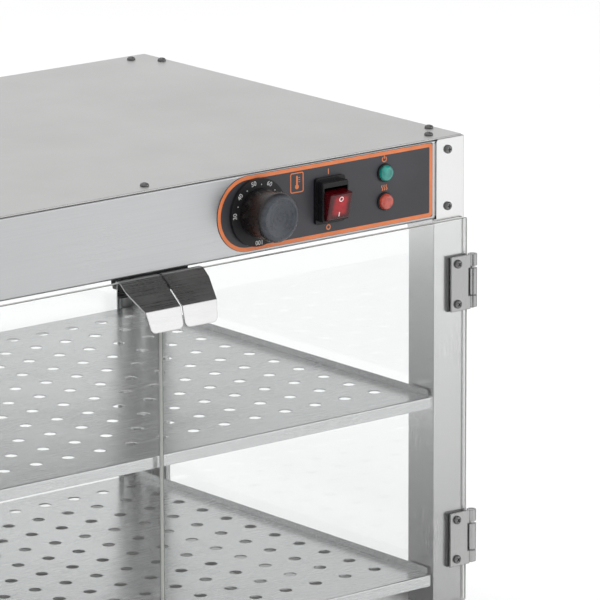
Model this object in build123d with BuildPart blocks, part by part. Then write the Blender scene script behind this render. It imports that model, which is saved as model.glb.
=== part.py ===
from build123d import *
from math import cos, radians, sin, sqrt
import os

# Food holding cabinet: a glazed countertop display warmer with two hinged glass doors.
# Frame: +X to the right, +Y to the back, +Z up. The origin is on the table surface,
# under the middle of the cabinet's bounding box. All sizes are in millimetres.

os.makedirs("parts", exist_ok=True)

# Overall sizes
width = 686.0
depth = 461.0
foot_height = 22.0
band_height = 71.0
opening_height = 356.0
handle_reach = 38.4
gland_reach = 24.0

# Sheet metal and glass
sheet = 1.0
glass = 4.0
bend = 2.0
roof_sheet = 1.2
hair = 0.1
slack = 0.4

# Levels and faces worked out from the overall sizes
front = -(depth + gland_reach - handle_reach) / 2
back = front + depth
side = width / 2
base_top = foot_height + band_height
band_bottom = base_top + opening_height
top = band_bottom + band_height
mid_y = (front + back) / 2
top_band_mid = top - band_height / 2
base_band_mid = foot_height + band_height / 2

# Corner posts and bands
post = 36.0
post_radius = 1.6
notch = 3.5
top_flange = 25.0
base_flange = 45.0
band_gap = 2.0
tab_length = 36.0
tab_lap = 12.0
tab_inset = 3.0
inner_side = side - post
post_plate_x = inner_side + notch

# Pan-head screws, M4
screw_radius = 2.0
screw_hole_radius = 2.15
head_radius = 3.9
head_height = 2.6
plate_screw_inset = 19.5
plate_screw_rise = 10.0
roof_row_x = 315.0
roof_row_inset = 16.0
roof_side_inset = 9.0
roof_side_setback = 38.0
foot_x = 285.0
foot_inset = 24.0

# Glazing
pane_x = side - 18.0
rear_pane_y = back - 18.0
channel_width = 10.0
channel_depth = 12.0
seal_wall = 2.0

# Shelves
upper_shelf_top = top - 232.0
lower_shelf_top = top - 396.0
shelf_half = inner_side - 2.0
shelf_front = front + 2.0
shelf_back = back - 25.0
shelf_flange = 10.5
shelf_lip = 6.0
hole_pitch_x = 34.0
hole_pitch_y = 35.6
hole_radius = 5.75
hole_columns = 17
hole_rows = 11
hole_shift_x = 6.0
first_row = 45.5

# Doors
door_gap = 2.0
door_clearance = 2.0
glass_face = front - 5.5
glass_back = glass_face + glass
door_edge = side - 1.0
door_bottom = base_top + door_clearance
door_top = band_bottom - door_clearance
door_mid = (door_bottom + door_top) / 2

# Hinges
hinge_height = 49.5
hinge_offset = 117.3
hinge_x = side + 5.3
hinge_y = front - 5.0
barrel_radius = 4.2
pin_radius = 2.0
pin_clearance = 0.05
leaf = 1.5
leaf_inset = 0.8
leaf_reach = 20.7
clamp_inset = 1.5
clamp_width = 20.4
clamp = 1.1
knuckle_gap = 0.4
hinge_screw_x = side - 13.3
hinge_screw_rise = 18.2
fixed_leaf = 1.4
fixed_leaf_back = 24.0
fixed_screw_back = 14.0
hinge_levels = (door_mid - hinge_offset, door_mid + hinge_offset)
knuckle = hinge_height / 4

# Control panel, measured from the top edge of the front band
panel_left = 65.0
panel_right = 305.6
panel_height = 66.6
panel_mid = top - 34.6
panel_sheet = 0.5
panel_face = front - panel_sheet
knob_x = 108.0
knob_z = top - 34.4
switch_x = 187.5
switch_z = top - 35.0
lamp_x = 250.5
lamp_z = (top - 20.5, top - 46.0)

mirror_sides = ((-1, "left"), (1, "right"))


def save(piece, node):
    """Labels a finished piece with its node name and writes its STEP file."""
    piece.part.label = node
    export_step(piece.part, f"parts/{node}.step")


def outward(x, y, z, normal):
    """A plane at a point of the cabinet's skin, its Z axis along the outward normal."""
    return Plane(origin=(x, y, z), x_dir=(0, 0, 1), z_dir=normal)


def front_plane(forward):
    """A plane in front of the front face: X to the right, Y up, Z towards the user."""
    return Plane(origin=(0, front - forward, 0), x_dir=(1, 0, 0), z_dir=(0, -1, 0))


def rear_plane(backward):
    """A plane behind the rear face: X to the left of the front view, Y up, Z backwards."""
    return Plane(origin=(0, back + backward, 0), x_dir=(-1, 0, 0), z_dir=(0, 1, 0))


def pan_screw(length):
    """One pan-head screw with a cross recess, head on +Z, shank down from the origin."""
    recess_width = 1.0
    recess_length = 4.4
    recess_depth = 1.3
    with BuildPart() as screw:
        Cylinder(head_radius, head_height, align=(Align.CENTER, Align.CENTER, Align.MIN))
        rim = screw.edges().filter_by(GeomType.CIRCLE).sort_by(Axis.Z)[-1]
        fillet(rim, head_height * 0.7)
        Cylinder(screw_radius, length, align=(Align.CENTER, Align.CENTER, Align.MAX))
        with BuildSketch(Plane.XY.offset(head_height - recess_depth)):
            Rectangle(recess_length, recess_width)
            Rectangle(recess_width, recess_length)
        extrude(amount=recess_depth, mode=Mode.SUBTRACT)
    return screw.part


def screw_group(node, planes, length):
    """Identical screws, one at each plane, as separate solids of one node."""
    one = pan_screw(length)
    with BuildPart() as group:
        with Locations(*planes):
            add(one)
    save(group, node)


def drill(planes, radius, length):
    """Through holes along each plane's Z axis in the part being built."""
    with Locations(*planes):
        Cylinder(radius, length, mode=Mode.SUBTRACT)


def plus_plate(half_x, half_y, corner_x, corner_y, level, thickness):
    """A flat sheet with a square notch at each corner to clear the posts."""
    with BuildPart() as plate:
        with BuildSketch(Plane.XY.offset(level)):
            with Locations((0, mid_y)):
                Rectangle(2 * half_x, 2 * corner_y)
                Rectangle(2 * corner_x, 2 * half_y)
        extrude(amount=thickness)
    return plate


def u_bars(frame_plane, half_x, half_y, outer, legs, wall):
    """Four straight U-sections round a rectangle on a plane, mouths inwards, added to the part
    being built. The upright pair runs the full height and the level pair fits between them."""
    across = frame_plane.x_dir
    along = frame_plane.y_dir
    for out, run_dir, reach, run in (
        (across, along, half_x, half_y),
        (-across, -along, half_x, half_y),
        (along, -across, half_y, half_x - legs),
        (-along, across, half_y, half_x - legs),
    ):
        start = frame_plane.origin + out * reach - run_dir * run
        with BuildSketch(Plane(origin=start, x_dir=-out, z_dir=run_dir)) as section:
            with Locations((legs / 2, 0)):
                Rectangle(legs, outer)
            with Locations((wall + legs / 2, 0)):
                Rectangle(legs, outer - 2 * wall, mode=Mode.SUBTRACT)
        extrude(section.sketch, amount=2 * run)


# ---------------------------------------------------------------- frame

# The screw positions on the four posts: two on each outer face, at both ends
frame_screw_planes = []
for mid_level in (base_band_mid, top_band_mid):
    for rise in (-1, 1):
        level = mid_level + rise * (band_height / 2 - plate_screw_rise)
        for sign in (-1, 1):
            face_x = sign * (side - plate_screw_inset)
            frame_screw_planes.append(outward(face_x, front, level, (0, -1, 0)))
            frame_screw_planes.append(outward(face_x, back, level, (0, 1, 0)))
            for face_y in (front + plate_screw_inset, back - plate_screw_inset):
                frame_screw_planes.append(outward(sign * side, face_y, level, (sign, 0, 0)))


roof_screw_points = [
    (x, y)
    for x in (-roof_row_x, 0, roof_row_x)
    for y in (front + roof_row_inset, back - roof_row_inset)
]
roof_screw_points += [
    (x, y)
    for x in (roof_side_inset - side, side - roof_side_inset)
    for y in (front + roof_side_setback, back - roof_side_setback)
]
post_hinge_screw_planes = [
    outward(sign * (side + fixed_leaf), front + fixed_screw_back, level + rise, (sign, 0, 0))
    for sign in (-1, 1)
    for level in hinge_levels
    for rise in (-hinge_screw_rise, hinge_screw_rise)
]


def screws_near(point, reach):
    """The frame screw planes within reach of a point."""
    return [plane for plane in frame_screw_planes if (plane.origin - point).length < reach]


# Corner posts: square tubes, notched to an angle where the bands lap behind them
for sign, side_name in mirror_sides:
    for face_y, into, end_name in ((front, 1, "front"), (back, -1, "rear")):
        centre_x = sign * (side - post / 2)
        centre_y = face_y + into * post / 2
        with BuildPart() as corner_post:
            with BuildSketch(Plane.XY.offset(foot_height)):
                with Locations((centre_x, centre_y)):
                    RectangleRounded(post, post, post_radius)
                    inner = post - 2 * sheet
                    RectangleRounded(inner, inner, post_radius - sheet, mode=Mode.SUBTRACT)
            extrude(amount=top - foot_height)
            for end_level in (base_band_mid, top_band_mid):
                with Locations((sign * (inner_side + notch / 2), centre_y, end_level)):
                    Box(notch, post, band_height, mode=Mode.SUBTRACT)
                inner_y = face_y + into * (post - notch / 2)
                with Locations((centre_x, inner_y, end_level)):
                    Box(post, notch, band_height, mode=Mode.SUBTRACT)
            free_corners = [
                edge
                for edge in corner_post.edges().filter_by(Axis.Y)
                if abs(abs(edge.center().X) - post_plate_x) < hair
                and abs(edge.center().Z - top) < hair
            ]
            fillet(free_corners, 3.0)
            for end_level in (base_band_mid, top_band_mid):
                corner = Vector(sign * side, face_y, end_level)
                drill(screws_near(corner, band_height), screw_hole_radius, 6 * sheet)
            if end_name == "front":
                own = [plane for plane in post_hinge_screw_planes if plane.origin.X * sign > 0]
                drill(own, screw_hole_radius, 8 * sheet)
        save(corner_post, f"post_{end_name}_{side_name}")


def folded_band(face, length, flange, cutouts):
    """A C-section band on a face plane (X along the band, Z outward), with a tab at each end
    that is set back by one sheet so that it laps behind the post."""
    profile = Plane(origin=face.origin, x_dir=-face.z_dir, z_dir=face.x_dir)
    reach = length / 2 + post
    with BuildPart() as band:
        with BuildSketch(profile) as section:
            with Locations((flange / 2, 0)):
                Rectangle(flange, band_height)
            fillet(section.vertices().group_by(Axis.X)[0], bend)
            with Locations((sheet + flange / 2, 0)):
                Rectangle(flange, band_height - 2 * sheet, mode=Mode.SUBTRACT)
        extrude(amount=length / 2, both=True)
        tab_x = length / 2 - tab_lap + tab_length / 2
        with Locations(face.offset(-1.5 * sheet)):
            with Locations((-tab_x, 0), (tab_x, 0)):
                Box(tab_length, band_height - 2 * tab_inset, sheet)
        drill(screws_near(face.origin, reach), screw_hole_radius, 6 * sheet)
        if face.origin.Z > band_bottom:
            with Locations(*[(x, y, top) for x, y in roof_screw_points]):
                Cylinder(screw_hole_radius, 6 * sheet, mode=Mode.SUBTRACT)
        if cutouts is not None:
            extrude(cutouts.sketch, amount=8 * sheet, both=True, mode=Mode.SUBTRACT)
    return band


# Cut-outs of the front band behind the controls
spindle_hole_radius = 5.0
switch_body_width = 27.0
switch_body_height = 33.0
lamp_body_radius = 5.6
with BuildSketch(front_plane(0)) as control_cutouts:
    with Locations((knob_x, knob_z)):
        Circle(spindle_hole_radius)
    with Locations((switch_x, switch_z)):
        Rectangle(switch_body_width + 1, switch_body_height + 1)
    with Locations(*[(lamp_x, z) for z in lamp_z]):
        Circle(lamp_body_radius + 0.4)

# Gland hole and vent slots of the rear band
gland_x = -235.0
gland_hole_radius = 8.3
vent_x = 150.0
vent_count = 15
vent_pitch = 12.0
vent_size = (34.0, 4.0)
with BuildSketch(rear_plane(0)) as rear_cutouts:
    with Locations((-gland_x, top_band_mid)):
        Circle(gland_hole_radius)
    with Locations((-vent_x, top_band_mid)):
        with GridLocations(vent_pitch, 1, vent_count, 1):
            SlotOverall(*vent_size, rotation=90)

# Foot screw holes of the front and rear base bands
foot_points = [(x, y) for x in (-foot_x, foot_x) for y in (front + foot_inset, back - foot_inset)]
with BuildSketch(Plane.XY.offset(foot_height)) as foot_holes:
    with Locations(*foot_points):
        Circle(screw_hole_radius)

band_span = 2 * (post_plate_x - band_gap)
side_span = depth - 2 * (post - notch + band_gap)
for place, face_x, face_y, normal, span in (
    ("front", 0, front, (0, -1, 0), band_span),
    ("rear", 0, back, (0, 1, 0), band_span),
    ("left", -side, mid_y, (-1, 0, 0), side_span),
    ("right", side, mid_y, (1, 0, 0), side_span),
):
    along = Vector(0, 0, 1).cross(Vector(*normal))
    for level, mid_level, flange in (
        ("top", top_band_mid, top_flange),
        ("base", base_band_mid, base_flange if place in ("front", "rear") else top_flange),
    ):
        cutouts = {
            "front_top": control_cutouts,
            "rear_top": rear_cutouts,
            "front_base": foot_holes,
            "rear_base": foot_holes,
        }.get(f"{place}_{level}")
        face = Plane(origin=(face_x, face_y, mid_level), x_dir=along, z_dir=normal)
        save(folded_band(face, span, flange, cutouts), f"{place}_{level}_band")

screw_group("frame_screws", frame_screw_planes, 6.0)

# Corner gussets: plates under the roof that tie the bands to the posts
gusset_x = (296.0, side - sheet - slack)
gusset_depth = 50.0
gusset = 1.5
with BuildPart() as corner_gussets:
    gusset_width = gusset_x[1] - gusset_x[0]
    for sign in (-1, 1):
        for face_y, into in ((front, 1), (back, -1)):
            centre_y = face_y + into * (sheet + slack + gusset_depth / 2)
            with Locations((sign * (gusset_x[0] + gusset_width / 2), centre_y, top - sheet)):
                Box(gusset_width, gusset_depth, gusset, align=(Align.CENTER, Align.CENTER, Align.MAX))
    with Locations(*[(x, y, top) for x, y in roof_screw_points]):
        Cylinder(screw_hole_radius, 8, mode=Mode.SUBTRACT)
save(corner_gussets, "corner_gussets")

# ---------------------------------------------------------------- panels and feet

# Roof sheet
roof_inset = 1.5
with BuildPart() as roof_panel:
    with BuildSketch(Plane.XY.offset(top)):
        with Locations((0, mid_y)):
            RectangleRounded(width - 2 * roof_inset, depth - 2 * roof_inset, 2.0)
    extrude(amount=roof_sheet)
    fillet(roof_panel.edges().group_by(Axis.Z)[-1], 0.5)
    with Locations(*[(x, y, top) for x, y in roof_screw_points]):
        Cylinder(screw_hole_radius, 8, mode=Mode.SUBTRACT)
save(roof_panel, "roof_panel")
roof_screw_planes = [Plane(origin=(x, y, top + roof_sheet)) for x, y in roof_screw_points]
screw_group("roof_screws", roof_screw_planes, 6.0)

# Ceiling of the cabinet, on the lower flanges of the top bands
ceiling_panel = plus_plate(
    side - 8,
    depth / 2 - 3 * sheet,
    inner_side - 1,
    depth / 2 - post - 1,
    band_bottom + sheet,
    sheet,
)
save(ceiling_panel, "ceiling_panel")

# Floor of the cabinet, on the upper flanges of the base bands
element_x = 270.0
element_row_count = 6
element_inset = 80.0
element_rows = (front + element_inset, back - element_inset)
element_radius = 4.0
element_hole_radius = 7.0
floor_half_x = pane_x - channel_width / 2 - 1
floor_panel = plus_plate(
    floor_half_x,
    depth / 2 - 3 * sheet,
    inner_side - 1,
    depth / 2 - post - 1,
    base_top,
    sheet,
)
with BuildPart() as floor_panel_pierced:
    add(floor_panel.part)
    with Locations(*[(element_x, y, base_top) for y in element_rows]):
        Cylinder(element_hole_radius, 8, mode=Mode.SUBTRACT)
    with Locations((0, rear_pane_y - channel_depth / 2 - sheet, base_top)):
        Box(width, post, 8, align=(Align.CENTER, Align.MIN, Align.CENTER), mode=Mode.SUBTRACT)
save(floor_panel_pierced, "floor_panel")

# Plate that closes the base from below
bottom_plate = plus_plate(
    side - 8,
    depth / 2 - 3 * sheet,
    inner_side - 1,
    depth / 2 - post - 1,
    foot_height + sheet,
    sheet,
)
with BuildPart() as bottom_plate_pierced:
    add(bottom_plate.part)
    with Locations(*[(x, y, foot_height) for x, y in foot_points]):
        Cylinder(screw_hole_radius, 8, mode=Mode.SUBTRACT)
save(bottom_plate_pierced, "bottom_plate")

# Rubber feet with a counterbored hole, and their screws
foot_radius = 18.0
foot_web = 8.0
foot_planes = [Plane(origin=(x, y, 0)) for x, y in foot_points]
with BuildPart() as rubber_feet:
    with Locations(*foot_planes):
        Cone(foot_radius - 3, foot_radius, foot_height, align=(Align.CENTER, Align.CENTER, Align.MIN))
    fillet(rubber_feet.edges().group_by(Axis.Z)[0], 2.0)
    with Locations(*foot_planes):
        Cylinder(screw_hole_radius, 60, mode=Mode.SUBTRACT)
        bore_depth = foot_height - foot_web
        bore_align = (Align.CENTER, Align.CENTER, Align.MIN)
        Cylinder(7.0, bore_depth, align=bore_align, mode=Mode.SUBTRACT)
save(rubber_feet, "rubber_feet")
foot_screw_planes = [
    Plane(origin=(x, y, foot_height - foot_web), z_dir=(0, 0, -1)) for x, y in foot_points
]
screw_group("foot_screws", foot_screw_planes, 14.0)

# ---------------------------------------------------------------- fixed glazing

side_run = depth / 2 - post
pane_rise = opening_height / 2
pane_centre_z = base_top + pane_rise
pane_inset = sheet + seal_wall
panes = {
    "side_glass_left": (
        Plane(origin=(-pane_x, mid_y, pane_centre_z), x_dir=(0, 1, 0), z_dir=(1, 0, 0)),
        side_run,
    ),
    "side_glass_right": (
        Plane(origin=(pane_x, mid_y, pane_centre_z), x_dir=(0, 1, 0), z_dir=(1, 0, 0)),
        side_run,
    ),
    "rear_glass": (
        Plane(origin=(0, rear_pane_y, pane_centre_z), x_dir=(1, 0, 0), z_dir=(0, -1, 0)),
        inner_side,
    ),
}
with BuildPart() as glazing_channels:
    for plane, run in panes.values():
        u_bars(plane, run, pane_rise, channel_width, channel_depth, sheet)
save(glazing_channels, "glazing_channels")
with BuildPart() as glazing_seals:
    seal_width = channel_width - 2 * sheet
    for plane, run in panes.values():
        u_bars(plane, run - sheet, pane_rise - sheet, seal_width, channel_depth, seal_wall)
save(glazing_seals, "glazing_seals")
for name, (plane, run) in panes.items():
    with BuildPart() as pane:
        with BuildSketch(plane):
            Rectangle(2 * (run - pane_inset), 2 * (pane_rise - pane_inset))
        extrude(amount=glass / 2, both=True)
    save(pane, name)

# ---------------------------------------------------------------- shelves

shelf_mid_y = (shelf_front + shelf_back) / 2
shelf_depth = shelf_back - shelf_front
support_sheet = 1.2
support_leg = 9.0
support_reach = 12.0
support_spans = ((front + 12, front + 32), (back - 35, back - 26))


def perforated_tray(level):
    """A folded tray: perforated deck, front and back edges turned down, sides turned up."""
    lip_mid = level + (shelf_lip - sheet) / 2
    with BuildPart() as tray:
        with BuildSketch(Plane(origin=(0, shelf_mid_y, 0), x_dir=(0, 1, 0), z_dir=(1, 0, 0))) as section:
            with Locations((0, level - shelf_flange / 2)):
                Rectangle(shelf_depth, shelf_flange)
            fillet(section.vertices().group_by(Axis.Y)[-1], 1.5)
            with Locations((0, level - sheet - shelf_flange / 2)):
                Rectangle(shelf_depth - 2 * sheet, shelf_flange, mode=Mode.SUBTRACT)
        extrude(amount=shelf_half, both=True)
        for sign in (-1, 1):
            with Locations((sign * (shelf_half - sheet / 2), shelf_mid_y, lip_mid)):
                Box(sheet, shelf_depth - 8, shelf_lip + sheet)
        lip_tops = tray.edges().filter_by(Axis.X).group_by(Axis.Z)[-1]
        fillet(lip_tops, 2.5)
        with BuildSketch(Plane.XY.offset(level)) as holes:
            centre_y = shelf_front + first_row + hole_pitch_y * (hole_rows - 1) / 2
            with Locations((hole_shift_x, centre_y)):
                with GridLocations(hole_pitch_x, hole_pitch_y, hole_columns, hole_rows):
                    Circle(hole_radius)
        extrude(holes.sketch, amount=2 * sheet, both=True, mode=Mode.SUBTRACT)
    return tray


for level, name in ((upper_shelf_top, "upper"), (lower_shelf_top, "lower")):
    save(perforated_tray(level), f"{name}_shelf")

with BuildPart() as shelf_supports:
    for level in (upper_shelf_top, lower_shelf_top):
        for sign in (-1, 1):
            for near, far in support_spans:
                run = far - near
                middle = (near + far) / 2
                tab_x = sign * (inner_side - support_reach / 2)
                leg_x = sign * (inner_side - support_sheet / 2)
                under = level - sheet
                with Locations((tab_x, middle, under - support_sheet / 2)):
                    Box(support_reach, run, support_sheet)
                with Locations((leg_x, middle, under - support_leg / 2)):
                    Box(support_sheet, run, support_leg)
save(shelf_supports, "shelf_supports")

# ---------------------------------------------------------------- heating

# Sheathed heating element: a flat serpentine under the lower shelf, its ends turned down
element_z = base_top + sheet + 15.0
element_end_bend = 10.0
element_left = -250.0
element_right = 215.0
element_step = (element_rows[1] - element_rows[0]) / (element_row_count - 1)
element_bend = element_step / 2 - 1
element_tail = base_top - 24
element_points = [(element_x, element_rows[0], element_tail), (element_x, element_rows[0], element_z)]
for row in range(element_row_count):
    row_y = element_rows[0] + row * element_step
    ends = (element_right, element_left) if row % 2 == 0 else (element_left, element_right)
    if row > 0:
        element_points.append((ends[0], row_y, element_z))
    if row < element_row_count - 1:
        element_points.append((ends[1], row_y, element_z))
element_points.append((element_x, element_rows[1], element_z))
element_points.append((element_x, element_rows[1], element_tail))
inner_bends = len(element_points) - 4
with BuildPart() as heating_element:
    with BuildLine() as element_path:
        bends = [element_end_bend] + [element_bend] * inner_bends + [element_end_bend]
        FilletPolyline(*element_points, radius=bends)
    with BuildSketch(Plane(origin=element_points[0])):
        Circle(element_radius)
    sweep(path=element_path.line)
save(heating_element, "heating_element")

# Top-hat rails that hold the element off the floor
rail_height = element_z - element_radius - base_top - sheet
rail_width = 16.0
with BuildPart() as element_rails:
    for rail_x in (-170, 0, 170):
        with Locations((rail_x, mid_y, base_top + sheet + rail_height / 2)):
            Box(rail_width, element_rows[1] - element_rows[0] + 60, rail_height)
        with Locations((rail_x, mid_y, base_top + rail_height / 2)):
            hollow = rail_width - 2 * sheet
            Box(hollow, element_rows[1] - element_rows[0] + 80, rail_height, mode=Mode.SUBTRACT)
save(element_rails, "element_rails")

# Bushes where the element's ends pass through the floor
bush_radius = 10.0
with BuildPart() as element_bushes:
    with Locations(*[(element_x, y, base_top + sheet) for y in element_rows]):
        Cylinder(bush_radius, 3, align=(Align.CENTER, Align.CENTER, Align.MIN))
        Cylinder(element_hole_radius - hair, 6, align=(Align.CENTER, Align.CENTER, Align.MAX))
        Cylinder(element_radius + hair, 30, mode=Mode.SUBTRACT)
save(element_bushes, "element_bushes")

# ---------------------------------------------------------------- controls

# Control overlay: a label sheet with a round left end
with BuildPart() as control_overlay:
    with BuildSketch(front_plane(0)) as overlay_outline:
        end_radius = panel_height / 2
        with Locations(((panel_left + end_radius + panel_right) / 2, panel_mid)):
            Rectangle(panel_right - panel_left - end_radius, panel_height)
        fillet(overlay_outline.vertices().group_by(Axis.X)[-1], 1.5)
        with Locations((panel_left + end_radius, panel_mid)):
            Circle(end_radius)
        with Locations((knob_x, knob_z)):
            Circle(spindle_hole_radius, mode=Mode.SUBTRACT)
        with Locations((switch_x, switch_z)):
            Rectangle(switch_body_width + 1, switch_body_height + 1, mode=Mode.SUBTRACT)
        with Locations(*[(lamp_x, z) for z in lamp_z]):
            Circle(lamp_body_radius + 0.4, mode=Mode.SUBTRACT)
    extrude(amount=panel_sheet)
save(control_overlay, "control_overlay")

# Fixed dial plate with a stepped face, round the thermostat spindle
dial_radius = 29.8
dial_height = 3.6
with BuildPart() as dial_plate:
    with BuildSketch(front_plane(panel_sheet)):
        with Locations((knob_x, knob_z)):
            Circle(dial_radius)
            Circle(spindle_hole_radius, mode=Mode.SUBTRACT)
    extrude(amount=dial_height)
    fillet(dial_plate.edges().filter_by(GeomType.CIRCLE).group_by(Axis.Y)[0][-1], 1.2)
save(dial_plate, "dial_plate")

# Thermostat: body behind the band, spindle and grip
spindle_radius = 3.0
grip_radius = 21.8
grip_length = 30.0
grip_base = front - panel_sheet - dial_height - 0.4
grip_face = grip_base - grip_length
dish_radius = 16.6
dish_depth = 3.0
spindle_front = grip_face + 8
spindle_back = front + 14
thermostat_depth = 26.0
with BuildPart() as thermostat_body:
    with BuildSketch(front_plane(-sheet)):
        with Locations((knob_x, knob_z)):
            RectangleRounded(46, 42, 3)
    extrude(amount=-thermostat_depth)
    with BuildSketch(front_plane(-sheet)):
        with Locations((knob_x, knob_z)):
            Circle(spindle_radius + pin_clearance)
    extrude(amount=-14, mode=Mode.SUBTRACT)
    with BuildSketch(front_plane(-sheet - thermostat_depth)):
        with Locations((knob_x, knob_z)):
            with GridLocations(14, 12, 2, 2):
                Rectangle(6, 1)
    extrude(amount=-8)
save(thermostat_body, "thermostat_body")

with BuildPart() as thermostat_spindle:
    with BuildSketch(front_plane(front - spindle_back)):
        with Locations((knob_x, knob_z)):
            Circle(spindle_radius)
    extrude(amount=spindle_back - spindle_front)
save(thermostat_spindle, "thermostat_spindle")

with BuildPart() as knob_grip:
    knob_axis = Plane(origin=(knob_x, grip_base, knob_z), x_dir=(1, 0, 0), z_dir=(0, 0, 1))
    with BuildSketch(knob_axis):
        with BuildLine():
            rim_start = (grip_radius, -grip_length + 6)
            rim_end = (dish_radius, -grip_length)
            Line((0, 0), (grip_radius - 0.6, 0))
            Line((grip_radius - 0.6, 0), rim_start)
            rim = TangentArc(rim_start, rim_end, tangent=(0.05, -1))
            dish_curve = (dish_radius**2 + dish_depth**2) / (2 * dish_depth)
            dish_rise = dish_curve - sqrt(dish_curve**2 - dish_radius**2 / 4)
            dish_middle = (dish_radius / 2, -grip_length + dish_depth - dish_rise)
            ThreePointArc(rim_end, dish_middle, (0, -grip_length + dish_depth))
            Line((0, -grip_length + dish_depth), (0, 0))
        make_face()
    revolve(axis=Axis((knob_x, 0, knob_z), (0, 1, 0)))
    with BuildSketch(front_plane(front - grip_base)):
        with Locations((knob_x, knob_z)):
            Circle(spindle_radius + pin_clearance)
    extrude(amount=grip_base - spindle_front + 0.5, mode=Mode.SUBTRACT)
save(knob_grip, "knob_grip")

# Rocker switch: stepped frame, body behind the band and rocking key
frame_width = 33.0
frame_height = 41.0
inner_width = 29.4
inner_height = 35.4
frame_steps = (3.0, 10.5)
key_width = 24.4
key_height = 24.0
key_drop = 1.5
key_face = 10.5
key_pivot = panel_face - 6.0
key_tilt = 13.0
cavity_clearance = 0.8
cavity_play = 5.0
trunnion_radius = 1.5
key_lean = radians(key_tilt)
key_plane = Plane(
    origin=(switch_x, key_pivot, switch_z - key_drop),
    x_dir=(0, -cos(key_lean), -sin(key_lean)),
    z_dir=(1, 0, 0),
)
with BuildPart() as switch_frame:
    with BuildSketch(front_plane(panel_sheet)):
        with Locations((switch_x, switch_z)):
            RectangleRounded(frame_width, frame_height, 3.0)
    extrude(amount=frame_steps[0])
    with BuildSketch(front_plane(panel_sheet)):
        with Locations((switch_x, switch_z)):
            RectangleRounded(inner_width, inner_height, 2.5)
    extrude(amount=frame_steps[1])
    fillet(switch_frame.faces().sort_by(Axis.Y)[0].outer_wire().edges(), 1.2)
    with BuildSketch(front_plane(panel_sheet)):
        with Locations((switch_x, switch_z)):
            Rectangle(switch_body_width, switch_body_height)
    extrude(amount=-26)
    with BuildSketch(front_plane(panel_sheet + frame_steps[1])):
        with Locations((switch_x, switch_z - key_drop)):
            Rectangle(key_width + 2 * cavity_clearance, key_height + cavity_play)
    extrude(amount=-frame_steps[1] - 8, mode=Mode.SUBTRACT)
    with Locations(key_plane):
        Cylinder(trunnion_radius + pin_clearance, key_width + 4, mode=Mode.SUBTRACT)
save(switch_frame, "switch_frame")

with BuildPart() as switch_key:
    with BuildSketch(key_plane):
        with BuildLine():
            half_height = key_height / 2
            bottom_front = (key_face, -half_height)
            top_front = (key_face, half_height)
            Polyline(
                (-4, -5),
                (-2, 1 - half_height),
                bottom_front,
                top_front,
                (-2, half_height - 1),
                (-4, 5),
                (-4, -5),
            )
        make_face()
    extrude(amount=key_width / 2, both=True)
    fillet(switch_key.faces().sort_by(Axis.Y)[0].edges(), 1.4)
    with Locations(key_plane):
        Cylinder(trunnion_radius, key_width + 3.6)
save(switch_key, "switch_key")

# Pilot lamps: bezel and body in one, domed lens in front
bezel_radius = 8.2
bezel_height = 1.6
lens_radius = 7.0
lens_height = 4.6
with BuildPart() as lamp_bodies:
    with BuildSketch(front_plane(panel_sheet)):
        with Locations(*[(lamp_x, z) for z in lamp_z]):
            Circle(bezel_radius)
    extrude(amount=bezel_height)
    fillet(lamp_bodies.edges().filter_by(GeomType.CIRCLE).group_by(Axis.Y)[0], 0.6)
    with BuildSketch(front_plane(panel_sheet)):
        with Locations(*[(lamp_x, z) for z in lamp_z]):
            Circle(lamp_body_radius)
    extrude(amount=-24)
save(lamp_bodies, "lamp_bodies")

for lens_z, name in zip(lamp_z, ("power", "heat")):
    with BuildPart() as lens:
        with BuildSketch(front_plane(panel_sheet + bezel_height)):
            with Locations((lamp_x, lens_z)):
                Circle(lens_radius)
        extrude(amount=lens_height)
        fillet(lens.faces().sort_by(Axis.Y)[0].edges(), lens_height * 0.75)
    save(lens, f"{name}_lamp_lens")

# ---------------------------------------------------------------- supply side

with BuildPart() as terminal_block:
    block_size = (62, 22, 16)
    block_level = band_bottom + 2 * sheet
    with Locations((gland_x + 30, back - 70, block_level)):
        Box(*block_size, align=(Align.CENTER, Align.CENTER, Align.MIN))
    with Locations((gland_x + 30, back - 70, block_level + block_size[2])):
        with GridLocations(12, 11, 5, 2):
            Cylinder(3.2, 9, mode=Mode.SUBTRACT)
save(terminal_block, "terminal_block")

# Cable gland: flange body through the rear band, dome nut outside, lock nut inside
gland_bore = 4.2
gland_length = gland_reach + 14.0
hexagon = 12.5
with BuildPart() as cable_gland:
    with BuildSketch(rear_plane(0)):
        with Locations((-gland_x, top_band_mid)):
            RegularPolygon(hexagon, 6)
    extrude(amount=6)
    with BuildSketch(rear_plane(0)):
        with Locations((-gland_x, top_band_mid)):
            Circle(hexagon * 0.82)
    extrude(amount=gland_reach)
    fillet(cable_gland.faces().sort_by(Axis.Y)[-1].edges(), 4.0)
    with BuildSketch(rear_plane(0)):
        with Locations((-gland_x, top_band_mid)):
            Circle(gland_hole_radius - hair)
    extrude(amount=-(gland_length - gland_reach))
    with BuildSketch(rear_plane(gland_reach)):
        with Locations((-gland_x, top_band_mid)):
            Circle(gland_bore)
    extrude(amount=-gland_length, mode=Mode.SUBTRACT)
save(cable_gland, "cable_gland")

with BuildPart() as gland_nut:
    with BuildSketch(rear_plane(-sheet)):
        with Locations((-gland_x, top_band_mid)):
            RegularPolygon(hexagon, 6)
            Circle(gland_hole_radius, mode=Mode.SUBTRACT)
    extrude(amount=-5)
save(gland_nut, "gland_nut")

# ---------------------------------------------------------------- door catch

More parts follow.
